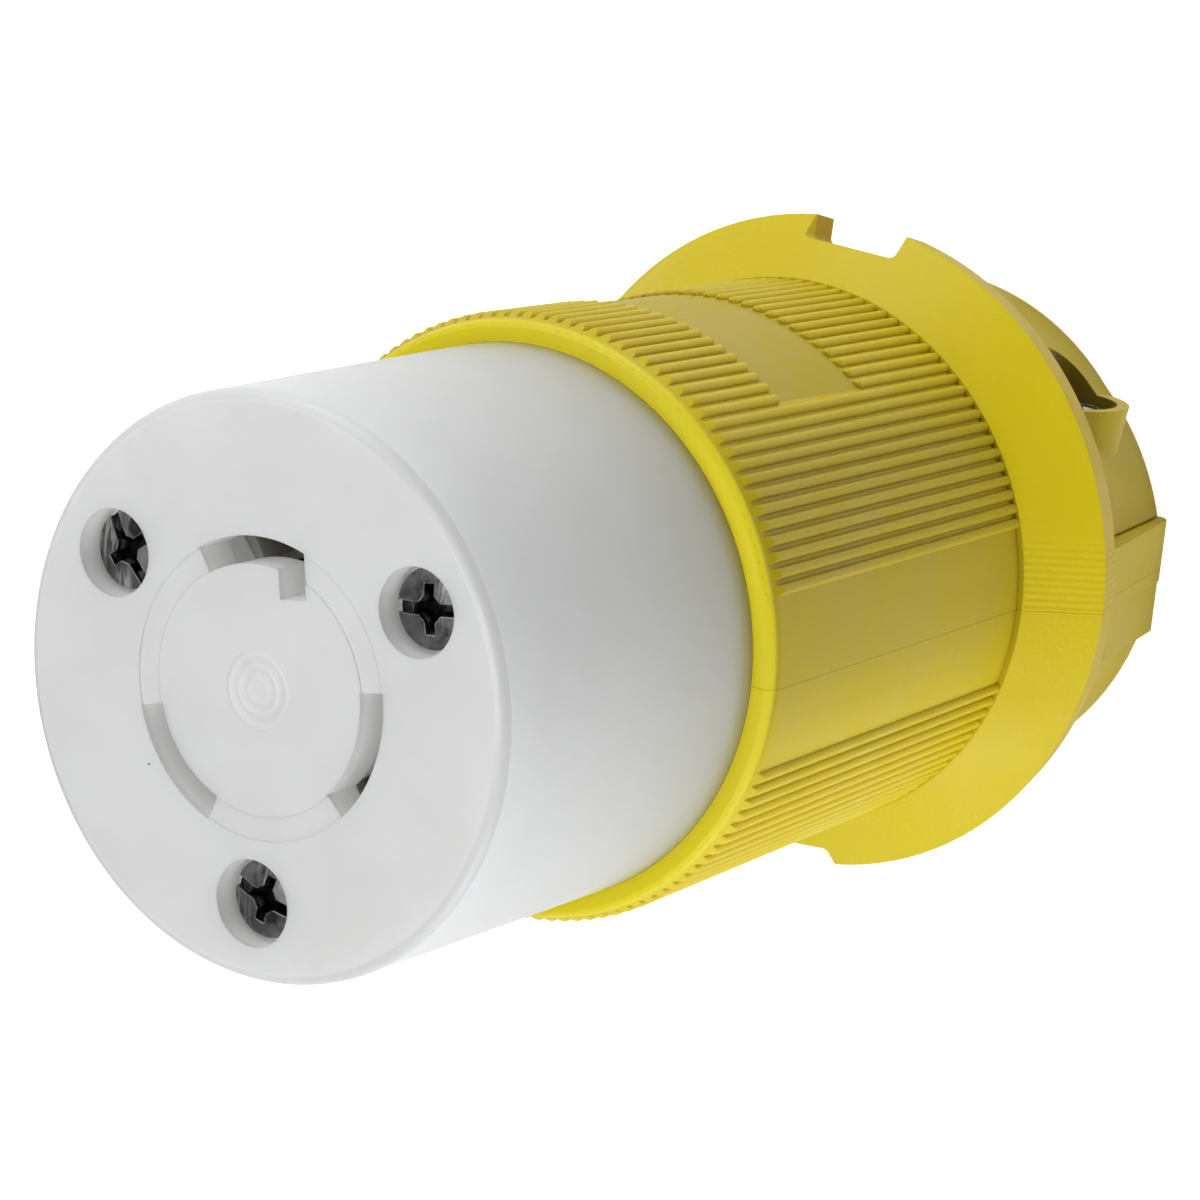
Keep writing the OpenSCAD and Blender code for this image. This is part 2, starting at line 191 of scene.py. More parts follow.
class Effects:
    """Shader node groups that more than one finish uses, each built once."""

    mottle_range: Span = (0.3, 0.7)
    scratch_turns: tuple[Triple, Triple] = ((0.5, 0.2, 0.7), (1.3, 0.9, 2.1))
    scratch_stretch: Triple = (1.0, 0.08, 0.3)
    noise_middle: float = 0.5
    patch_scale: float = 220.0
    patch_range: Span = (0.45, 0.7)
    breakup_range: Span = (0.35, 0.65)
    least_rub: float = 0.2

    def __init__(self) -> None:
        """Build every group."""
        self.grain = self._moulded_grain()
        self.specks = self._specks()
        self.scratches = self._scratches()
        self.rub = self._edge_rub()

    @staticmethod
    def _start(
        name: str, inputs: dict[str, float], outputs: list[str]
    ) -> tuple[Graph, dict[str, Socket], bpy.types.Node]:
        """Make an empty group with number sockets.

        Args:
            name: Name of the group.
            inputs: Default value of each input.
            outputs: Names of the outputs.

        Returns:
            The group's graph, its input sockets by name and its output node.
        """
        tree = bpy.data.node_groups.new(name, "ShaderNodeTree")
        for title, value in inputs.items():
            socket = tree.interface.new_socket(title, in_out="INPUT", socket_type="NodeSocketFloat")
            socket.default_value = value
        for title in outputs:
            tree.interface.new_socket(title, in_out="OUTPUT", socket_type="NodeSocketFloat")
        graph = Graph(tree)
        entry = graph.add("NodeGroupInput")
        return graph, {title: entry.outputs[title] for title in inputs}, graph.add("NodeGroupOutput")

    def _moulded_grain(self) -> bpy.types.NodeTree:
        """Build the fine grain and the slow mottling of a moulded surface.

        Returns:
            The group.
        """
        scales = {"Grain scale": 2600.0, "Mottle scale": 140.0}
        graph, given, end = self._start("moulded_grain", scales, ["Grain", "Mottle"])
        place = graph.place()
        fine = {"Vector": place, "Scale": given["Grain scale"], "Detail": 2.0, "Roughness": 0.6}
        slow = {"Vector": place, "Scale": given["Mottle scale"], "Detail": 4.0, "Roughness": 0.55}
        grain = graph.add("ShaderNodeTexNoise", fine)
        mottle = graph.add("ShaderNodeTexNoise", {**slow, "Distortion": 0.4})
        share = graph.spread(mottle.outputs[0], *self.mottle_range, 0.0, 1.0)
        graph.tree.links.new(grain.outputs[0], end.inputs["Grain"])
        graph.tree.links.new(share, end.inputs["Mottle"])
        return graph.tree

    def _specks(self) -> bpy.types.NodeTree:
        """Build small scattered specks of dirt.

        Returns:
            The group.
        """
        graph, given, end = self._start("specks", {"Scale": 300.0, "Share": 0.12, "Size": 0.07}, ["Mask"])
        cells = graph.add("ShaderNodeTexVoronoi", {"Vector": graph.place(), "Scale": given["Scale"]})
        chance = graph.add("ShaderNodeSeparateColor", {0: cells.outputs["Color"]})
        size = graph.math("MULTIPLY", given["Size"], chance.outputs[1])
        near = graph.math("LESS_THAN", cells.outputs["Distance"], size)
        some = graph.math("LESS_THAN", chance.outputs[0], given["Share"])
        graph.tree.links.new(graph.overlap(near, some), end.inputs["Mask"])
        return graph.tree

    def _scratches(self) -> bpy.types.NodeTree:
        """Build fine hairline scratches that run in two directions.

        Returns:
            The group.
        """
        graph, given, end = self._start("scratches", {"Scale": 500.0, "Width": 0.012}, ["Mask"])
        place = graph.place()
        lines = []
        for turn in self.scratch_turns:
            stretch = {"Vector": place, "Rotation": turn, "Scale": self.scratch_stretch}
            turned = graph.add("ShaderNodeMapping", stretch)
            streaks = {"Vector": turned.outputs[0], "Scale": given["Scale"], "Detail": 1.0}
            noise = graph.add("ShaderNodeTexNoise", streaks)
            off = graph.math("ABSOLUTE", graph.math("SUBTRACT", noise.outputs[0], self.noise_middle))
            lines.append(graph.math("LESS_THAN", off, given["Width"]))
        patch = graph.add("ShaderNodeTexNoise", {"Vector": place, "Scale": self.patch_scale, "Detail": 2.0})
        both = graph.math("MAXIMUM", lines[0], lines[1])
        patchy = graph.spread(patch.outputs[0], *self.patch_range, 0.0, 1.0)
        graph.tree.links.new(graph.overlap(both, patchy), end.inputs["Mask"])
        return graph.tree

    def _edge_rub(self) -> bpy.types.NodeTree:
        """Build the wear along edges, from the angle between a rounded and the true normal.

        Returns:
            The group.
        """
        graph, given, end = self._start("edge_rub", {"Breakup scale": 900.0, "Reach": 0.12}, ["Mask"])
        socket = graph.tree.interface.new_socket("Rounded", in_out="INPUT", socket_type="NodeSocketVector")
        socket.default_value = UP
        rounded = next(n for n in graph.tree.nodes if n.type == "GROUP_INPUT").outputs["Rounded"]
        true = graph.add("ShaderNodeNewGeometry").outputs["True Normal"]
        normals = {0: rounded, 1: true}
        agree = graph.add("ShaderNodeVectorMath", normals, operation="DOT_PRODUCT").outputs["Value"]
        turned = graph.math("SUBTRACT", 1.0, agree)
        breakup = {"Vector": graph.place(), "Scale": given["Breakup scale"], "Detail": 3.0}
        noise = graph.add("ShaderNodeTexNoise", breakup)
        share = graph.math("DIVIDE", turned, given["Reach"])
        patchy = graph.spread(noise.outputs[0], *self.breakup_range, self.least_rub, 1.0)
        worn = graph.overlap(share, patchy)
        limited = graph.add("ShaderNodeClamp", {"Value": worn}).outputs[0]
        graph.tree.links.new(limited, end.inputs["Mask"])
        return graph.tree


def use_effect(graph: Graph, group: bpy.types.NodeTree, **values: object) -> bpy.types.Node:
    """Place an effect in a material with its own values.

    Args:
        graph: The material's graph.
        group: The effect.
        values: Inputs of the effect, with underscores for the spaces in their names.

    Returns:
        The effect's node.
    """
    node = graph.add("ShaderNodeGroup", node_tree=group)
    for name, value in values.items():
        socket = node.inputs[name.replace("_", " ")]
        if isinstance(value, Socket):
            graph.tree.links.new(value, socket)
        else:
            socket.default_value = value
    return node


# Finishes


def new_material(name: str) -> tuple[bpy.types.Material, Graph, bpy.types.Node]:
    """Make a material with a Principled shader.

    Args:
        name: Name of the material.

    Returns:
        The material, its graph and its Principled node.
    """
    material = bpy.data.materials.new(name)
    material.use_nodes = True
    graph = Graph(material.node_tree)
    return material, graph, material.node_tree.nodes["Principled BSDF"]


@dataclass(frozen=True)
class Nylon:
    """Moulded nylon with grain, mottling, specks and hairline scuffs, opaque or translucent."""

    name: str
    light: Rgb
    deep: Rgb
    speck: Rgb
    gloss: Span
    grain_scale: float
    grain_depth: float
    speck_share: float
    scatter: Rgb = WHITE
    scatter_share: float = 0.0
    scatter_depth: float = 1.0 * MM
    shine: float = 0.5
    refraction: float = 1.53
    edge_r: float = 0.15 * MM
    scuff_scale: float = 160.0
    scuff_width: float = 0.004
    scuff_rough: float = 0.12

    def body(self, graph: Graph, mottle: Socket) -> Socket:
        """Return the body colour, mottled between the deep and the light tone."""
        return graph.tint(mottle, self.deep, self.light)

    def relief(self, graph: Graph, height: Socket) -> Socket:
        """Return the surface's relief, which is the plain grain here."""
        return height

    def material(self, effects: Effects) -> bpy.types.Material:
        """Build the material.

        Args:
            effects: The shared effects.

        Returns:
            The material.
        """
        material, graph, shader = new_material(self.name)
        grain = use_effect(graph, effects.grain, Grain_scale=self.grain_scale)
        specks = use_effect(graph, effects.specks, Share=self.speck_share)
        scuffs = use_effect(graph, effects.scratches, Scale=self.scuff_scale, Width=self.scuff_width)
        body = self.body(graph, grain.outputs["Mottle"])
        dirty = graph.tint(specks.outputs["Mask"], body, self.speck)
        rough = graph.spread(grain.outputs["Mottle"], 0.0, 1.0, *self.gloss)
        rough = graph.math("ADD", rough, graph.math("MULTIPLY", scuffs.outputs["Mask"], self.scuff_rough))
        height = self.relief(graph, grain.outputs["Grain"])
        rounded = graph.add("ShaderNodeBevel", {"Radius": self.edge_r}, samples=EDGE_SAMPLES).outputs[0]
        bumps = {"Height": height, "Strength": 1.0, "Distance": self.grain_depth, "Normal": rounded}
        bump = graph.add("ShaderNodeBump", bumps)
        links = graph.tree.links
        links.new(dirty, shader.inputs["Base Color"])
        links.new(rough, shader.inputs["Roughness"])
        links.new(bump.outputs[0], shader.inputs["Normal"])
        shader.inputs["IOR"].default_value = self.refraction
        shader.inputs["Specular IOR Level"].default_value = self.shine
        shader.inputs["Subsurface Weight"].default_value = self.scatter_share
        shader.inputs["Subsurface Radius"].default_value = self.scatter
        shader.inputs["Subsurface Scale"].default_value = self.scatter_depth
        return material


@dataclass(frozen=True)
class NoseNylon(Nylon):
    """Translucent nylon of the nose, with painted shade towards the lip, painted light and painted shade at
    its front edge, a painted highlight line, and a painted glow in slots and holes.
    """

    # painted shade: the sleeve grows darker towards the lip
    shaded: Rgb = (0.51, 0.495, 0.415)
    # painted shade with a painted yellow reflection of the shell, next to the lip
    painted_shade_by_lip: Rgb = (0.46, 0.43, 0.20)
    # painted highlight: a thin bright line along the face's edge, on the left
    edge_highlight: Rgb = (0.86, 0.86, 0.86)
    # painted light on the front of the sleeve, on the right
    front_painted_light: Rgb = (0.84, 0.84, 0.84)
    # painted shade on the edge's rounding, on the right, which damps its highlight
    round_painted_shade: Rgb = (0.72, 0.72, 0.71)
    # painted glow: the walls of slots and holes emit a faint light
    hole_painted_glow: Rgb = (0.085, 0.085, 0.083)
    front_z: float = 97.0 * MM
    lip_z: float = 66.0 * MM
    face_z: float = 99.0 * MM
    edge_line_r: float = 21.7 * MM
    edge_highlight_w: float = 0.1 * MM
    hole_r: float = 20.2 * MM
    sleeve_power: float = 1.5
    lip_fade: float = 2.4 * MM
    right_fade: float = 11.0 * MM
    front_fade_z: Span = (93.0 * MM, 98.0 * MM)
    front_fade_r: float = 22.4 * MM
    bend_z: Span = (98.25 * MM, 98.98 * MM)
    bend_r: float = 21.9 * MM
    line_fade: float = 0.12 * MM
    below_face: Span = (0.06 * MM, 0.02 * MM)
    hole_fade: float = 0.3 * MM
    below_mouth: Span = (0.9 * MM, 0.05 * MM)

    def body(self, graph: Graph, mottle: Socket) -> Socket:
        """Paint shade on the mottled body towards the shell's lip, painted light on the sleeve's front,
        painted shade on its rounding and a painted highlight line along the face's edge.

        Args:
            graph: The material's graph.
            mottle: Share of the light tone.

        Returns:
            The body colour.
        """
        plain = super().body(graph, mottle)
        place = graph.place()
        along, _, height = graph.parts(place)
        radius = graph.radius(place)
        # painted shade that deepens towards the lip
        far = graph.add("ShaderNodeMapRange", {"Value": height, 1: self.front_z, 2: self.lip_z}).outputs[0]
        sleeve = graph.tint(graph.math("POWER", far, self.sleeve_power), plain, self.shaded)
        # painted shade and painted yellow reflection just beside the lip
        close = graph.spread(height, self.lip_z, self.lip_z + self.lip_fade, 1.0, 0.0)
        tinted = graph.tint(close, sleeve, self.painted_shade_by_lip)
        right = graph.spread(along, 0.0, self.right_fade, 0.0, 1.0)
        left = graph.math("SUBTRACT", 1.0, right)
        # painted light on the sleeve's front, on the right side
        upper = graph.spread(height, *self.front_fade_z, 0.0, 1.0)
        outside = graph.spread(radius, self.edge_line_r, self.front_fade_r, 0.0, 1.0)
        tinted = graph.tint(graph.overlap(right, upper, outside), tinted, self.front_painted_light)
        # painted shade on the rounding of the front edge
        bend = graph.band(height, *self.bend_z, self.line_fade)
        outside = graph.spread(radius, self.edge_line_r, self.bend_r, 0.0, 1.0)
        tinted = graph.tint(graph.overlap(bend, outside, right), tinted, self.round_painted_shade)
        # painted highlight line along the face's edge, on the left side only
        line = graph.band(radius, self.edge_line_r, self.edge_line_r + self.edge_highlight_w, self.line_fade)
        low, high = (self.face_z - drop for drop in self.below_face)
        on_face = graph.spread(height, low, high, 0.0, 1.0)
        return graph.tint(graph.overlap(line, left, on_face), tinted, self.edge_highlight)

    def glow(self, graph: Graph) -> Socket:
        """Paint a faint glow on the walls of slots and holes.

        Args:
            graph: The material's graph.

        Returns:
            The painted glow's colour.
        """
        place = graph.place()
        inside = graph.spread(graph.radius(place), self.hole_r, self.hole_r + self.hole_fade, 1.0, 0.0)
        low, high = (self.face_z - drop for drop in self.below_mouth)
        below = graph.spread(graph.parts(place)[2], low, high, 1.0, 0.0)
        return graph.tint(graph.overlap(inside, below), BLACK, self.hole_painted_glow)

    def material(self, effects: Effects) -> bpy.types.Material:
        """Build the material and give its slots and holes their painted glow.

        Args:
            effects: The shared effects.

        Returns:
            The material.
        """
        material = super().material(effects)
        graph = Graph(material.node_tree)
        shader = material.node_tree.nodes["Principled BSDF"]
        # painted glow in the slots and holes, by emission
        material.node_tree.links.new(self.glow(graph), shader.inputs["Emission Color"])
        shader.inputs["Emission Strength"].default_value = 1.0
        return material


@dataclass(frozen=True)
class ShellNylon(Nylon):
    """Yellow nylon of shell and jaw: painted light on the lip, the grip's top and bottom, the flange and
    its rim, a painted sheen on the clamp, painted shade in hollows, and the mould's marks.
    """

    # painted light: the lip is drawn brighter, as if lit through
    lip_painted_light: Rgb = (0.96, 0.80, 0.015)
    # painted light on the grip's lower side
    low_painted_light: Rgb = (0.88, 0.69, 0.004)
    # painted light on the grip's upper side, but not on the bare pad
    high_painted_light: Rgb = (0.75, 0.575, 0.003)
    # painted light on the flange, as if lit through
    flange_painted_light: Rgb = (0.84, 0.655, 0.003)
    # painted light and sheen on the flange's rim band, duller than the flange
    rim_painted_light: Rgb = (0.61, 0.43, 0.004)
    # painted sheen: the clamp is drawn paler and duller
    clamp_painted_sheen: Rgb = (0.57, 0.43, 0.01)
    # painted shade in hollows, darker and more saturated, and how far its occlusion mask reaches
    hollow: Rgb = (0.42, 0.29, 0.0005)
    hollow_depth: float = 1.4 * MM
    hollow_range: Span = (0.1, 0.8)
    hollow_share: float = 0.6
    # the painted shade in hollows is weaker on the grip's lower side
    soft_y: Span = (-13.0 * MM, -2.0 * MM)
    soft_share: float = 0.35
    low_y: Span = (-14.0 * MM, 3.0 * MM)
    high_y: Span = (14.0 * MM, 21.0 * MM)
    collar_z: float = 65.15 * MM
    collar_fade: float = 0.5 * MM
    root_z: float = 25.6 * MM
    rim_z: float = 20.6 * MM
    clamp_z: float = 17.5 * MM
    flange_r: float = 23.9 * MM
    pad_x: float = 14.6 * MM
    pad_z: Span = (40.7 * MM, 53.3 * MM)
    pad_fade: float = 0.3 * MM
    edge_fade: float = 0.1 * MM
    line_fade: float = 0.05 * MM
    parting_y: float = -0.1 * MM
    parting_w: float = 0.09 * MM
    parting_height: float = 2.5
    mark_y: Span = (0.4 * MM, 5.5 * MM)
    mark_fade: float = 0.8 * MM
    mark_pitch: float = 0.62 * MM
    mark_depth: float = 0.7

    def body(self, graph: Graph, mottle: Socket) -> Socket:
        """Paint light over the mottled body on the grip's top and bottom, the flange, its rim and the lip,
        a painted sheen on the clamp and painted shade in hollows.

        Args:
            graph: The material's graph.
            mottle: Share of the light tone.

        Returns:
            The body colour.
        """
        plain = super().body(graph, mottle)
        place = graph.place()
        along, across, height = graph.parts(place)
        # painted light on the lower side
        low = graph.spread(across, *self.low_y, 1.0, 0.0)
        colour = graph.tint(low, plain, self.low_painted_light)
        side = graph.math("ABSOLUTE", along)
        between = graph.spread(side, self.pad_x - self.pad_fade, self.pad_x, 1.0, 0.0)
        pad = graph.overlap(graph.band(height, *self.pad_z, self.edge_fade), between)
        # painted light on the upper side, kept off the bare pad
        high = graph.spread(across, *self.high_y, 0.0, 1.0)
        high = graph.overlap(high, graph.math("SUBTRACT", 1.0, pad))
        colour = graph.tint(high, colour, self.high_painted_light)
        flange = self.on_flange(graph, graph.radius(place), height)
        # painted light and sheen on the rim band
        rim = graph.spread(height, self.rim_z - self.edge_fade, self.rim_z, 1.0, 0.0)
        # painted sheen on the clamp
        clamp = graph.spread(height, self.clamp_z - self.line_fade, self.clamp_z, 1.0, 0.0)
        # painted light on the lip
        collar = graph.spread(height, self.collar_z, self.collar_z + self.collar_fade, 0.0, 1.0)
        # painted light on the flange
        colour = graph.tint(flange, colour, self.flange_painted_light)
        colour = graph.tint(graph.overlap(flange, rim), colour, self.rim_painted_light)
        colour = graph.tint(clamp, colour, self.clamp_painted_sheen)
        colour = graph.tint(collar, colour, self.lip_painted_light)
        # painted shade in hollows, from an occlusion mask
        reach = {"Distance": self.hollow_depth}
        openness = graph.add("ShaderNodeAmbientOcclusion", reach, samples=HOLLOW_SAMPLES, only_local=True)
        sunk = graph.spread(openness.outputs["AO"], *self.hollow_range, self.hollow_share, 0.0)
        softer = graph.spread(across, *self.soft_y, self.soft_share, 1.0)
        return graph.tint(graph.overlap(sunk, softer), colour, self.hollow)

    def on_flange(self, graph: Graph, radius: Socket, height: Socket) -> Socket:
        """Find the flange.

        Args:
            graph: The material's graph.
            radius: Distance from the axis.
            height: Height above the cord end.

        Returns:
            A mask that is 1 on the flange.
        """
        wide = graph.spread(radius, self.flange_r, self.flange_r + self.edge_fade, 0.0, 1.0)
        return graph.overlap(wide, graph.band(height, self.clamp_z, self.root_z, self.line_fade))

    def relief(self, graph: Graph, height: Socket) -> Socket:
        """Add the mould's parting line to the grain and, beside it on the flange, fine cutter marks.

        Args:
            graph: The material's graph.
            height: The grain.

        Returns:
            The relief.
        """
        place = graph.place()
        _, across, up = graph.parts(place)
        off = graph.math("ABSOLUTE", graph.math("SUBTRACT", across, self.parting_y))
        line = graph.spread(off, 0.0, self.parting_w, 1.0, 0.0)
        flange = self.on_flange(graph, graph.radius(place), up)
        rough = graph.math("ADD", height, graph.math("MULTIPLY", height, flange))
        wave = graph.math("SINE", graph.math("MULTIPLY", across, 2.0 * math.pi / self.mark_pitch))
        marks = graph.overlap(wave, graph.band(across, *self.mark_y, self.mark_fade))
        marks = graph.overlap(marks, graph.math("MULTIPLY", flange, self.mark_depth))
        rough = graph.math("ADD", rough, marks)
        return graph.math("ADD", rough, graph.math("MULTIPLY", line, self.parting_height))


@dataclass(frozen=True)
class JawNylon(ShellNylon):
    """Yellow nylon of the clamp jaw, with painted shade inside its screw pockets."""

    # painted shade inside the screw pockets
    pocket_painted_shade: Rgb = (0.15, 0.10, 0.001)
    pocket_x: float = 17.2 * MM
    pocket_z: float = 7.6 * MM
    pocket_r: float = 3.65 * MM
    pocket_fade: Span = (0.02 * MM, 0.25 * MM)
    seat_y: float = 12.2 * MM
    seat_fade: float = 0.3 * MM
    mouth_y: float = 22.0 * MM
    mouth_share: float = 0.45

    def body(self, graph: Graph, mottle: Socket) -> Socket:
        """Paint shade over the shell's colour down into the pockets.

        Args:
            graph: The material's graph.
            mottle: Share of the light tone.

        Returns:
            The body colour.
        """
        colour = super().body(graph, mottle)
        along, across, height = graph.parts(graph.place())
        along = graph.math("SUBTRACT", graph.math("ABSOLUTE", along), self.pocket_x)
        height = graph.math("SUBTRACT", height, self.pocket_z)
        squares = [graph.math("MULTIPLY", off, off) for off in (along, height)]
        radius = graph.math("SQRT", graph.math("ADD", *squares))
        near, far = (self.pocket_r + fade for fade in self.pocket_fade)
        inside = graph.spread(radius, near, far, 1.0, 0.0)
        below = graph.spread(across, self.seat_y, self.mouth_y, 1.0, self.mouth_share)
        above = graph.spread(across, self.seat_y - self.seat_fade, self.seat_y, 0.0, 1.0)
        deep = graph.overlap(below, above)
        # painted shade down into the pockets
        return graph.tint(graph.overlap(inside, deep), colour, self.pocket_painted_shade)


@dataclass(frozen=True)
class Metal:
    """Worked metal: a blotched surface that is rubbed bright along its edges and scratches, with painted
    shade where it lies deep.
    """

    name: str
    body: Rgb
    blotch: Rgb
    bright: Rgb
    gloss: Span
    edge_r: float
    metallic: float = 1.0
    # painted shade deep in a hole, and the heights that it fades between
    shade: Rgb | None = None
    shade_z: Span = (0.0, 0.0)
    grain_scale: float = 3200.0
    grain_depth: float = 0.012 * MM
    blotch_scale: float = 900.0
    scratch_scale: float = 900.0
    scratch_width: float = 0.02
    scratch_share: float = 0.6

    def shaded(self, graph: Graph, colour: Socket) -> Socket:
        """Paint shade on the metal where it lies deep in its hole.

        Args:
            graph: The material's graph.
            colour: The metal's own colour.

        Returns:
            The colour with its painted shade, or the same colour where none is set.
        """
        if self.shade is None:
            return colour
        height = graph.parts(graph.place())[2]
        return graph.tint(graph.spread(height, *self.shade_z, 1.0, 0.0), colour, self.shade)

    def material(self, effects: Effects) -> bpy.types.Material:
        """Build the material.

        Args:
            effects: The shared effects.

        Returns:
            The material.
        """
        material, graph, shader = new_material(self.name)
        scales = {"Grain_scale": self.grain_scale, "Mottle_scale": self.blotch_scale}
        grain = use_effect(graph, effects.grain, **scales)
        scratches = use_effect(graph, effects.scratches, Scale=self.scratch_scale, Width=self.scratch_width)
        rounded = graph.add("ShaderNodeBevel", {"Radius": self.edge_r}, samples=EDGE_SAMPLES).outputs[0]
        rub = use_effect(graph, effects.rub, Rounded=rounded)
        body = graph.tint(grain.outputs["Mottle"], self.body, self.blotch)
        scraped = graph.math("MULTIPLY", scratches.outputs["Mask"], self.scratch_share)
        worn = graph.math("MAXIMUM", rub.outputs["Mask"], scraped)
        rough = graph.spread(grain.outputs["Mottle"], 0.0, 1.0, *self.gloss)
        height = grain.outputs["Grain"]
        bumps = {"Height": height, "Strength": 1.0, "Distance": self.grain_depth, "Normal": rounded}
        bump = graph.add("ShaderNodeBump", bumps)
        links = graph.tree.links
        links.new(self.shaded(graph, graph.tint(worn, body, self.bright)), shader.inputs["Base Color"])
        links.new(rough, shader.inputs["Roughness"])
        links.new(bump.outputs[0], shader.inputs["Normal"])
        shader.inputs["Metallic"].default_value = self.metallic
        return material


@dataclass(frozen=True)
class PaleFloor:
    """Matt studio sweep, nearly white, with a faint cloudiness."""

    name: str = "pale_floor"
    light: Rgb = (0.985, 0.985, 0.985)
    deep: Rgb = (0.975, 0.975, 0.975)
    cast_glow: Rgb = (0.08, 0.08, 0.08)
    seen_glow: Rgb = (0.80, 0.80, 0.80)
    mirrored_glow: Rgb = (0.34, 0.34, 0.34)
    cloud_scale: float = 4.0
    rough: float = 0.9
    shine: float = 0.1

    def material(self, effects: Effects) -> bpy.types.Material:
        """Build the floor's material, which looks brighter than the light that it casts.

        Args:
            effects: The shared effects.

        Returns:
            The material.
        """
        material, graph, shader = new_material(self.name)
        cloud = use_effect(graph, effects.grain, Mottle_scale=self.cloud_scale)
        colour = graph.tint(cloud.outputs["Mottle"], self.deep, self.light)
        graph.tree.links.new(colour, shader.inputs["Base Color"])
        shader.inputs["Roughness"].default_value = self.rough
        shader.inputs["Specular IOR Level"].default_value = self.shine
        path = graph.add("ShaderNodeLightPath")
        glow = graph.tint(path.outputs["Is Glossy Ray"], self.cast_glow, self.mirrored_glow)
        glow = graph.tint(path.outputs["Is Camera Ray"], glow, self.seen_glow)
        graph.tree.links.new(glow, shader.inputs["Emission Color"])
        shader.inputs["Emission Strength"].default_value = 1.0
        return material


WHITE_NYLON = NoseNylon(
    name="white_nylon",
    light=(0.84, 0.84, 0.83),
    deep=(0.81, 0.81, 0.795),
    speck=(0.06, 0.055, 0.05),
    scatter=(1.0, 0.95, 0.85),
    scatter_share=0.4,
    scatter_depth=6.0 * MM,
    gloss=(0.30, 0.42),
    grain_scale=1900.0,
    grain_depth=0.010 * MM,
    speck_share=0.05,
)
SHELL_LOOK: dict[str, object] = {
    "light": (0.565, 0.42, 0.0015),
    "deep": (0.525, 0.39, 0.0015),
    "speck": (0.10, 0.075, 0.01),
    "gloss": (0.44, 0.56),
    "grain_scale": 2400.0,
    "grain_depth": 0.022 * MM,
    "speck_share": 0.06,
    "shine": 0.35,
}
YELLOW_NYLON = ShellNylon(name="yellow_nylon", **SHELL_LOOK)
JAW_NYLON = JawNylon(name="jaw_nylon", **SHELL_LOOK)
CARRIER_MOULDING = Nylon(
    name="carrier_moulding",
    light=(0.58, 0.57, 0.53),
    deep=(0.50, 0.49, 0.45),
    speck=(0.2, 0.18, 0.15),
    scatter=(1.0, 0.9, 0.75),
    scatter_share=0.4,
    scatter_depth=2.0 * MM,
    gloss=(0.40, 0.55),
    grain_scale=2000.0,
    grain_depth=0.015 * MM,
    speck_share=0.03,
)
RETAINER_MOULDING = Nylon(
    name="retainer_moulding",
    light=(0.10, 0.10, 0.105),
    deep=(0.07, 0.07, 0.073),
    speck=(0.2, 0.2, 0.2),
    gloss=(0.45, 0.6),
    grain_scale=2400.0,
    grain_depth=0.02 * MM,
    speck_share=0.04,
)
CONTACT_BRASS = Metal(
    name="contact_brass",
    body=(0.62, 0.44, 0.16),
    blotch=(0.50, 0.33, 0.11),
    bright=(0.85, 0.68, 0.34),
    gloss=(0.26, 0.40),
    edge_r=0.10 * MM,
    # painted shade on the contacts' upper ends, seen deep in the slots
    shade=(0.16, 0.15, 0.14),
    shade_z=(80.0 * MM, 74.0 * MM),
)
PLATED_STEEL = Metal(
    name="plated_steel",
    body=(0.52, 0.52, 0.51),
    blotch=(0.43, 0.43, 0.42),
    bright=(0.80, 0.80, 0.80),
    gloss=(0.24, 0.36),
    edge_r=0.10 * MM,
)
DARK_STEEL = Metal(
    name="dark_steel",
    body=(0.10, 0.10, 0.105),
    blotch=(0.20, 0.20, 0.20),
    bright=(0.62, 0.62, 0.61),
    gloss=(0.28, 0.48),
    edge_r=0.16 * MM,
    # painted shade in the screw heads' recess and down the hole
    shade=(0.012, 0.012, 0.012),
    shade_z=(96.5 * MM, 97.05 * MM),
)
GREEN_STEEL = Metal(
    name="green_steel",
    body=(0.05, 0.22, 0.07),
    blotch=(0.03, 0.15, 0.05),
    bright=(0.45, 0.50, 0.42),
    gloss=(0.30, 0.42),
    edge_r=0.12 * MM,
    metallic=0.6,
)


class Wardrobe:
    """Builds each finish once and puts it on solids and new pieces."""

    def __init__(self, effects: Effects) -> None:
        """Start with no material built."""
        self.effects = effects
        self.made: dict[str, bpy.types.Material] = {}

    def material(self, finish: Nylon | Metal | PaleFloor) -> bpy.types.Material:
        """Return a finish's material, built on first use.

        Args:
            finish: The finish.

        Returns:
            Its material.
        """
        if finish.name not in self.made:
            self.made[finish.name] = finish.material(self.effects)
        return self.made[finish.name]

    def dress(self, thing: bpy.types.Object, finish: Nylon | Metal | PaleFloor) -> None:
        """Put one finish on an object.

        Args:
            thing: A solid of the frame or a new piece.
            finish: The finish that it gets.
        """
        if not thing.material_slots:
            thing.data.materials.append(None)
        for slot in thing.material_slots:
            slot.link = "OBJECT"
            slot.material = self.material(finish)
        LOG.info("%s is dressed in %s", thing.name, finish.name)


# Mesh tools


def piece_from(mesh: bmesh.types.BMesh, name: str, crease: float = 60.0) -> bpy.types.Object:
    """Turn a bmesh into a piece that belongs to the root body.

    Args:
        mesh: The finished mesh, in metres in the frame. It is freed.
        name: Name of the piece.
        crease: Angle in degrees above which an edge stays sharp.

    Returns:
        The new object, at the origin.
    """
    bmesh.ops.remove_doubles(mesh, verts=mesh.verts, dist=MERGE)
    bmesh.ops.recalc_face_normals(mesh, faces=mesh.faces)
    for face in mesh.faces:
        face.smooth = True
    data = bpy.data.meshes.new(name)
    mesh.to_mesh(data)
    mesh.free()
    data.set_sharp_from_angle(angle=math.radians(crease))
    piece = bpy.data.objects.new(name, data)
    bpy.context.scene.collection.objects.link(piece)
    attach(piece, "root")
    return piece


# Sub-assemblies


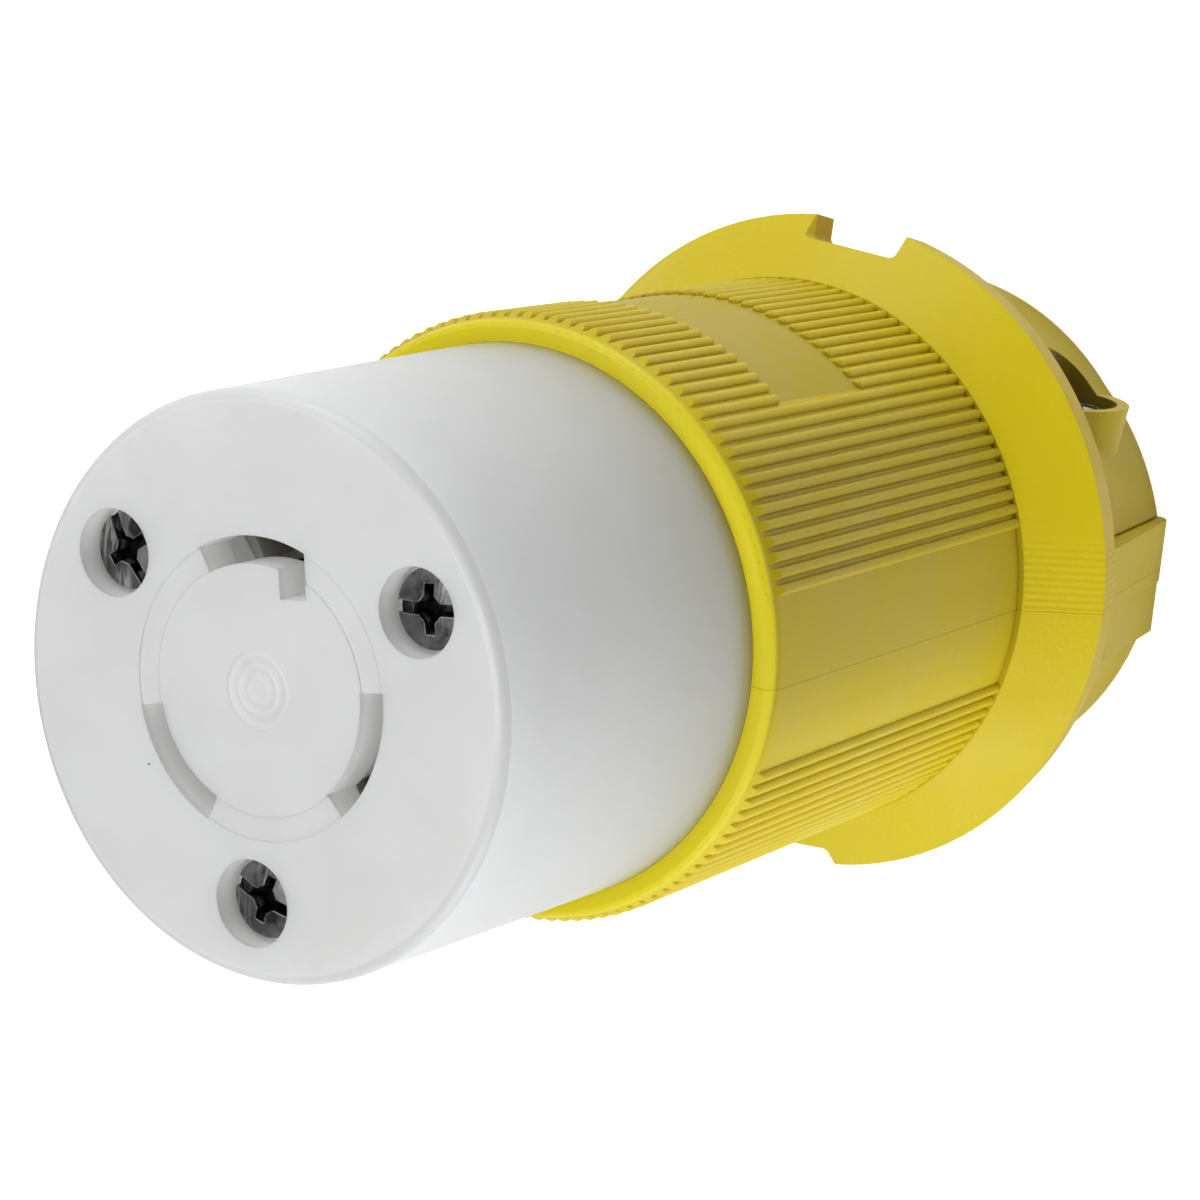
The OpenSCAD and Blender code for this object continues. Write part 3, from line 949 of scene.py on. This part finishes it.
@dataclass
class FaceScrew:
    """Long screw with a slotted cross recess, sunk in its hole in the outlet face."""

    node: str
    turn: float
    head_r: float = 3.1 * MM
    shank_r: float = 1.75 * MM
    seat_z: float = 96.25 * MM
    rim_z: float = 97.05 * MM
    crown: float = 0.45 * MM
    segments: int = 48
    rings: int = 5
    crease: float = 25.0
    cut_slack: float = 0.0001 * MM
    rim_slack: float = 0.02 * MM
    wing_half: float = 0.46 * MM
    wing_reach: float = 1.9 * MM
    core_reach: float = 1.45 * MM
    slot_depth: float = 0.5 * MM
    cross_depth: float = 0.7 * MM
    taper: float = 0.62

    def build(self) -> bpy.types.Object:
        """Make the screw and put it in place of its solid.

        Returns:
            The screw.
        """
        low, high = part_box(self.node)
        mesh = bmesh.new()
        self._disc(mesh)
        self._recess(mesh)
        self._sides(mesh, low[2])
        turn = Matrix.Rotation(math.radians(self.turn), 4, "Z")
        place = Matrix.Translation(((low[0] + high[0]) / 2, (low[1] + high[1]) / 2, 0.0))
        bmesh.ops.transform(mesh, matrix=place @ turn, verts=mesh.verts)
        piece = piece_from(mesh, f"{self.node}_look", self.crease)
        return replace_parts(piece, self.node)

    def _disc(self, mesh: bmesh.types.BMesh) -> None:
        """Make the crowned top, cut along the outlines of slot and cross.

        Args:
            mesh: The empty mesh that gets the top.
        """
        bmesh.ops.create_circle(mesh, cap_ends=True, segments=self.segments, radius=self.head_r)
        for _ in range(self.rings):
            inner = min(mesh.faces, key=lambda face: face.calc_center_median().length)
            bmesh.ops.inset_region(mesh, faces=[inner], thickness=self.head_r / (self.rings + 1))
        half, reach, core = self.wing_half, self.wing_reach, self.core_reach
        cuts = [((side * far, 0.0, 0.0), (1.0, 0.0, 0.0)) for side in (-1, 1) for far in (half, reach)]
        cuts += [((0.0, side * far, 0.0), (0.0, 1.0, 0.0)) for side in (-1, 1) for far in (half, reach)]
        cuts += [((side * core, 0.0, 0.0), (1.0, lean, 0.0)) for side in (-1, 1) for lean in (-1.0, 1.0)]
        for point, normal in cuts:
            everything = [*mesh.verts, *mesh.edges, *mesh.faces]
            bmesh.ops.bisect_plane(
                mesh, geom=everything, dist=self.cut_slack, plane_co=point, plane_no=normal
            )
        for vert in mesh.verts:
            vert.co.z = self.rim_z + self.crown * (1.0 - (vert.co.xy.length / self.head_r) ** 2)

    def _in_cross(self, face: bmesh.types.BMFace) -> bool:
        """Tell whether a face of the top lies in the cross.

        Args:
            face: The face.

        Returns:
            True where it does.
        """
        x, y = (abs(value) for value in face.calc_center_median().xy)
        wing = min(x, y) < self.wing_half and max(x, y) < self.wing_reach
        return wing or x + y < self.core_reach

    def _in_slot(self, face: bmesh.types.BMFace) -> bool:
        """Tell whether a face of the top lies in the slot."""
        return abs(face.calc_center_median().y) < self.wing_half

    @staticmethod
    def _sink(
        mesh: bmesh.types.BMesh, faces: list[bmesh.types.BMFace], depth: float
    ) -> list[bmesh.types.BMFace]:
        """Push faces down with walls round them.

        Args:
            mesh: The screw's mesh.
            faces: The faces to push.
            depth: How far they go.

        Returns:
            The faces at the bottom.
        """
        made = bmesh.ops.extrude_face_region(mesh, geom=faces)["geom"]
        bmesh.ops.delete(mesh, geom=[face for face in faces if face.is_valid], context="FACES")
        verts = [part for part in made if isinstance(part, bmesh.types.BMVert)]
        bmesh.ops.translate(mesh, vec=(0.0, 0.0, -depth), verts=verts)
        return [part for part in made if isinstance(part, bmesh.types.BMFace)]

    def _recess(self, mesh: bmesh.types.BMesh) -> None:
        """Sink the slot and, deeper and tapered, the cross.

        Args:
            mesh: The mesh with the crowned top.
        """
        hollow = [face for face in mesh.faces if self._in_cross(face) or self._in_slot(face)]
        floor = self._sink(mesh, hollow, self.slot_depth)
        deep = self._sink(mesh, [face for face in floor if self._in_cross(face)], self.cross_depth)
        verts = list({vert for face in deep for vert in face.verts})
        bmesh.ops.scale(mesh, vec=(self.taper, self.taper, 1.0), verts=verts)
        edge = self.head_r - self.rim_slack
        ends = [face for face in mesh.faces if all(vert.co.xy.length > edge for vert in face.verts)]
        bmesh.ops.delete(mesh, geom=ends, context="FACES")

    def _sides(self, mesh: bmesh.types.BMesh, tip_z: float) -> None:
        """Draw the head's side, its underside and the shank down from the rim.

        Args:
            mesh: The mesh with the finished top.
            tip_z: Height of the screw's tip.
        """
        steps = ((self.head_r, self.seat_z), (self.shank_r, self.seat_z), (self.shank_r, tip_z))
        for radius, height in steps:
            rim = [edge for edge in mesh.edges if edge.is_boundary]
            made = bmesh.ops.extrude_edge_only(mesh, edges=rim)["geom"]
            for vert in (part for part in made if isinstance(part, bmesh.types.BMVert)):
                flat = vert.co.xy.normalized() * radius
                vert.co = (flat.x, flat.y, height)
        bmesh.ops.holes_fill(mesh, edges=[edge for edge in mesh.edges if edge.is_boundary])


@dataclass
class Nose:
    """White nose with its outlet face and the three long screws that hold it."""

    wardrobe: Wardrobe
    recess_turns: Triple = (8.0, 128.0, 167.0)

    def build(self) -> None:
        """Make the looks of the three screws."""
        for number, turn in enumerate(self.recess_turns, start=1):
            self.wardrobe.dress(FaceScrew(f"assembly_screw_{number}", turn).build(), DARK_STEEL)

    def dress(self) -> None:
        """Give the solids of the nose and its screws their finishes."""
        self.wardrobe.dress(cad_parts["outlet_face"], WHITE_NYLON)
        for number in (1, 2, 3):
            self.wardrobe.dress(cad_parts[f"assembly_screw_{number}"], DARK_STEEL)


@dataclass
class ContactStack:
    """Insulators, contacts and terminals inside the nose."""

    wardrobe: Wardrobe

    def dress(self) -> None:
        """Give the inner pieces their finishes."""
        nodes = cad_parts
        self.wardrobe.dress(nodes["contact_carrier"], CARRIER_MOULDING)
        self.wardrobe.dress(nodes["contact_retainer"], RETAINER_MOULDING)
        for pole in ("line_a", "line_b", "ground"):
            self.wardrobe.dress(nodes[f"contact_{pole}"], CONTACT_BRASS)
            self.wardrobe.dress(nodes[f"clamp_plate_{pole}"], PLATED_STEEL)
            screw = GREEN_STEEL if pole == "ground" else PLATED_STEEL
            self.wardrobe.dress(nodes[f"terminal_screw_{pole}"], screw)
        for number in (1, 2, 3):
            self.wardrobe.dress(nodes[f"thread_insert_{number}"], CONTACT_BRASS)


@dataclass
class BackShell:
    """Yellow ribbed shell with its flange and the fixed half of the clamp."""

    wardrobe: Wardrobe
    seam_r: float = 22.65 * MM
    seam_z: float = 65.96 * MM
    seam_w: float = 0.09 * MM
    seam_sides: int = 8
    turns: int = 192
    rib_top_r: float = 24.98 * MM
    lip_r: float = 24.35 * MM
    front_r: float = 23.8 * MM
    fade_z: Span = (64.2 * MM, 65.35 * MM)
    front_z: float = 66.0 * MM
    cuts: int = 12
    crease: float = 30.0
    cut_slack: float = 0.0005 * MM
    level_slack: float = 0.01 * MM
    normal_reach: float = 0.002 * MM
    normal_match: float = 0.8

    def build(self) -> None:
        """Close the hairline between nose and lip, and let the ribs run out at the lip."""
        self.wardrobe.dress(self._seam(), YELLOW_NYLON)
        self.wardrobe.dress(self._faded(), YELLOW_NYLON)

    def dress(self) -> None:
        """Give the shell's solid its finish."""
        self.wardrobe.dress(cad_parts["back_shell"], YELLOW_NYLON)

    def _limit(self, height: float) -> float:
        """Find how far out the shell may reach near its lip.

        Args:
            height: Height above the cord end.

        Returns:
            The largest radius at that height.
        """
        start, end = self.fade_z
        share = min(max((height - start) / (end - start), 0.0), 1.0)
        fade = share * share * (3.0 - 2.0 * share)
        turn = max((height - end) / (self.front_z - end), 0.0)
        sunk = fade * (self.lip_r - self.rib_top_r)
        rounded = turn * turn * (self.front_r - self.lip_r)
        return self.rib_top_r + sunk + rounded

    def _faded(self) -> bpy.types.Object:
        """Copy the shell with ribs that sink into the rounded lip.

        Returns:
            The copy, shown in place of the shell's solid.
        """
        mesh = bmesh.new()
        mesh.from_mesh(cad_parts["back_shell"].data)
        bmesh.ops.remove_doubles(mesh, verts=mesh.verts, dist=self.cut_slack)
        start = self.fade_z[0]
        for number in range(self.cuts):
            level = start + (self.front_z - start) * number / self.cuts
            everything = [*mesh.verts, *mesh.edges, *mesh.faces]
            bmesh.ops.bisect_plane(
                mesh, geom=everything, dist=self.cut_slack, plane_co=(0.0, 0.0, level), plane_no=UP
            )
        for vert in mesh.verts:
            limit = self._limit(vert.co.z)
            if vert.co.z > start and vert.co.xy.length > limit:
                flat = vert.co.xy.normalized() * limit
                vert.co = (flat.x, flat.y, vert.co.z)
        piece = piece_from(mesh, "back_shell_look", self.crease)
        self._keep_normals(piece.data)
        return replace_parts(piece, "back_shell")

    def _keep_normals(self, data: bpy.types.Mesh) -> None:
        """Give the copy the solid's own normals, except where its lip is reshaped.

        Args:
            data: The copy's mesh.
        """
        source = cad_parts["back_shell"].data
        tree = KDTree(len(source.vertices))
        for vert in source.vertices:
            tree.insert(vert.co, vert.index)
        tree.balance()
        given: dict[int, list[Vector]] = defaultdict(list)
        for loop, normal in zip(source.loops, source.corner_normals):
            given[loop.vertex_index].append(normal.vector.copy())
        normals = [normal.vector.copy() for normal in data.corner_normals]
        for face in data.polygons:
            for index in face.loop_indices:
                place = data.vertices[data.loops[index].vertex_index].co
                if place.z > self.fade_z[0] - self.level_slack:
                    continue
                found = tree.find_range(place, self.normal_reach)
                near = [normal for _, vert, _ in found for normal in given[vert]]
                near += [-normal for normal in near]
                best = max(near, key=face.normal.dot, default=normals[index])
                if best.dot(face.normal) > self.normal_match:
                    normals[index] = best
        data.normals_split_custom_set(normals)

    def _seam(self) -> bpy.types.Object:
        """Make the thin rounded ring that fills the hairline round the nose.

        Returns:
            The ring.
        """
        mesh = bmesh.new()
        upright = Matrix.Translation((self.seam_r, 0.0, self.seam_z)) @ Matrix.Rotation(math.pi / 2, 4, "X")
        bmesh.ops.create_circle(mesh, segments=self.seam_sides, radius=self.seam_w, matrix=upright)
        bmesh.ops.spin(
            mesh,
            geom=[*mesh.verts, *mesh.edges],
            axis=UP,
            cent=(0.0, 0.0, 0.0),
            steps=self.turns,
            angle=2 * math.pi,
            use_merge=True,
        )
        return piece_from(mesh, "lip_seam")


@dataclass
class CordClamp:
    """Jaw of the cord clamp with its screws and nuts."""

    wardrobe: Wardrobe

    def dress(self) -> None:
        """Give the clamp's pieces their finishes."""
        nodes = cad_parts
        self.wardrobe.dress(nodes["clamp_jaw"], JAW_NYLON)
        for side in ("right", "left"):
            self.wardrobe.dress(nodes[f"clamp_screw_{side}"], PLATED_STEEL)
            self.wardrobe.dress(nodes[f"clamp_nut_{side}"], PLATED_STEEL)


# Studio


@dataclass(frozen=True)
class SoftBox:
    """One square studio light that points at the middle of the connector."""

    name: str
    around: float
    above: float
    power: float
    away: float = 0.95
    size: float = 0.6
    colour: Rgb = WHITE

    def build(self, aim: Vector) -> None:
        """Hang the light.

        Args:
            aim: Point that the light faces.
        """
        light = bpy.data.lights.new(self.name, "AREA")
        light.size = self.size
        light.energy = self.power
        light.color = self.colour
        lamp = bpy.data.objects.new(self.name, light)
        swing = Matrix.Rotation(math.radians(self.around), 3, "Z")
        lift = Matrix.Rotation(math.radians(-self.above), 3, "Y")
        out = swing @ lift @ Vector((self.away, 0.0, 0.0))
        lamp.location = aim + out
        lamp.rotation_euler = (-out).to_track_quat("-Z", "Y").to_euler()
        bpy.context.scene.collection.objects.link(lamp)


@dataclass
class Studio:
    """Floor, lights and camera."""

    wardrobe: Wardrobe
    aim: Vector = Vector((0.0, 0.0, 0.05))
    camera_place: Vector = Vector((0.19727, 0.09148, 0.35494))
    camera_aim: Vector = Vector((-0.00266, -0.00130, 0.05))
    camera_roll: float = math.radians(-104.927)
    lens: float = 135.0
    sensor: float = 36.0
    nearest: float = 0.01
    floor_half: float = 3.0
    floor_cells: int = 8
    floor_z: float = -0.05 * MM
    fill: float = 0.02

    def build(self) -> None:
        """Set up the whole studio."""
        self._floor()
        self._lights()
        self._camera()

    def _floor(self) -> None:
        """Lay the pale floor that the connector stands on."""
        mesh = bmesh.new()
        level = Matrix.Translation((0.0, 0.0, self.floor_z))
        cells = self.floor_cells
        bmesh.ops.create_grid(mesh, x_segments=cells, y_segments=cells, size=self.floor_half, matrix=level)
        data = bpy.data.meshes.new("floor")
        mesh.to_mesh(data)
        mesh.free()
        floor = bpy.data.objects.new("floor", data)
        bpy.context.scene.collection.objects.link(floor)
        self.wardrobe.dress(floor, PaleFloor())

    def _lights(self) -> None:
        """Hang an overhead light and two on each side of the grip, with an even fill."""
        for box in (
            SoftBox("overhead_light", around=0.0, above=90.0, power=3.5, away=0.90, size=0.5),
            SoftBox("lower_light", around=-58.0, above=18.0, power=4.3, colour=(0.935, 0.97, 1.0)),
            SoftBox("lower_front_light", around=-40.0, above=48.0, power=1.3),
            SoftBox("upper_light", around=102.0, above=18.0, power=2.9, colour=(0.925, 0.965, 1.0)),
            SoftBox("back_light", around=125.0, above=35.0, power=2.0),
        ):
            box.build(self.aim)
        world = bpy.data.worlds.new("studio_fill")
        world.use_nodes = True
        sky = world.node_tree.nodes["Background"]
        sky.inputs["Color"].default_value = (*WHITE, 1.0)
        sky.inputs["Strength"].default_value = self.fill
        bpy.context.scene.world = world
        bpy.context.scene.view_settings.view_transform = "Standard"

    def _camera(self) -> None:
        """Set the camera at the photograph's viewing angle."""
        data = bpy.data.cameras.new("camera")
        data.lens = self.lens
        data.sensor_width = self.sensor
        data.sensor_fit = "HORIZONTAL"
        data.clip_start = self.nearest
        camera = bpy.data.objects.new("camera", data)
        turn = (self.camera_aim - self.camera_place).to_track_quat("-Z", "Y").to_matrix().to_4x4()
        roll = Matrix.Rotation(self.camera_roll, 4, "Z")
        camera.matrix_world = Matrix.Translation(self.camera_place) @ turn @ roll
        bpy.context.scene.collection.objects.link(camera)
        bpy.context.scene.camera = camera


def main() -> None:
    """Build the connector's looks and the studio, piece by piece."""
    logging.basicConfig(level=logging.INFO, format="%(message)s")
    wardrobe = Wardrobe(Effects())
    shell = BackShell(wardrobe)
    shell.build()
    shell.dress()
    nose = Nose(wardrobe)
    nose.build()
    nose.dress()
    ContactStack(wardrobe).dress()
    CordClamp(wardrobe).dress()
    Studio(wardrobe).build()


if __name__ == "__main__":
    main()
